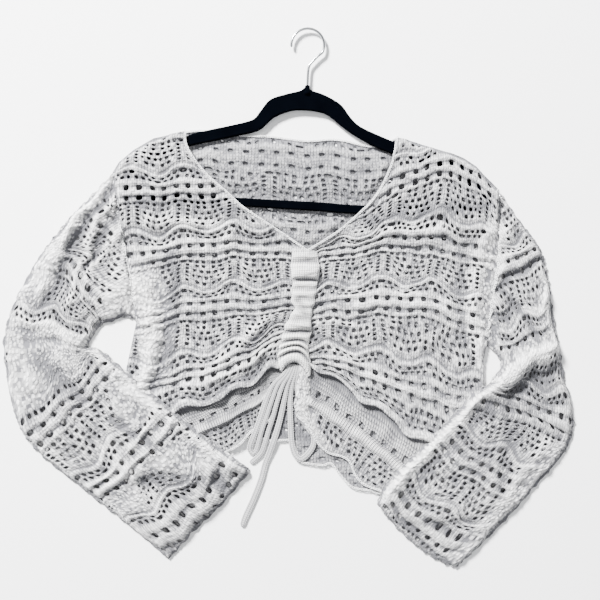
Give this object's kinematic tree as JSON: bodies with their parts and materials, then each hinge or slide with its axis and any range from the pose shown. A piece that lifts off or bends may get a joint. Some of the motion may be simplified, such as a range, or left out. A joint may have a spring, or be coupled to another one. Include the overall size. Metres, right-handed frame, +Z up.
{
  "type": "crochet top on a hanger",
  "caption": "Cropped V-neck lace-knit top with long sleeves and a ruched drawstring front, laid flat on a slim velvet hanger with its sleeves folded forward.",
  "frame": {"origin": "centre of the garment's box in X and Y, on the surface that it lies on", "axes": "+Z up from the surface, +Y towards the hanger's hook, +X to the right as seen from above"},
  "size_m": [0.6949, 0.6604, 0.0193],
  "materials": {
    "knit": "matte cotton lace knit",
    "jersey": "matte plain cotton knit",
    "velvet": "short flocked pile",
    "chrome": "polished"
  },
  "bodies": {
    "root": {"back": "knit", "front_left": "knit", "front_right": "knit", "casing": "jersey", "sleeve_left_over": "knit", "sleeve_left_under": "knit", "sleeve_right_over": "knit", "sleeve_right_under": "knit", "lace_loop_left": "jersey", "lace_loop_right": "jersey", "lace_tail_short": "jersey", "lace_tail_long": "jersey", "hanger_body": "velvet", "hanger_hook": "chrome"}
  },
  "joints": []
}
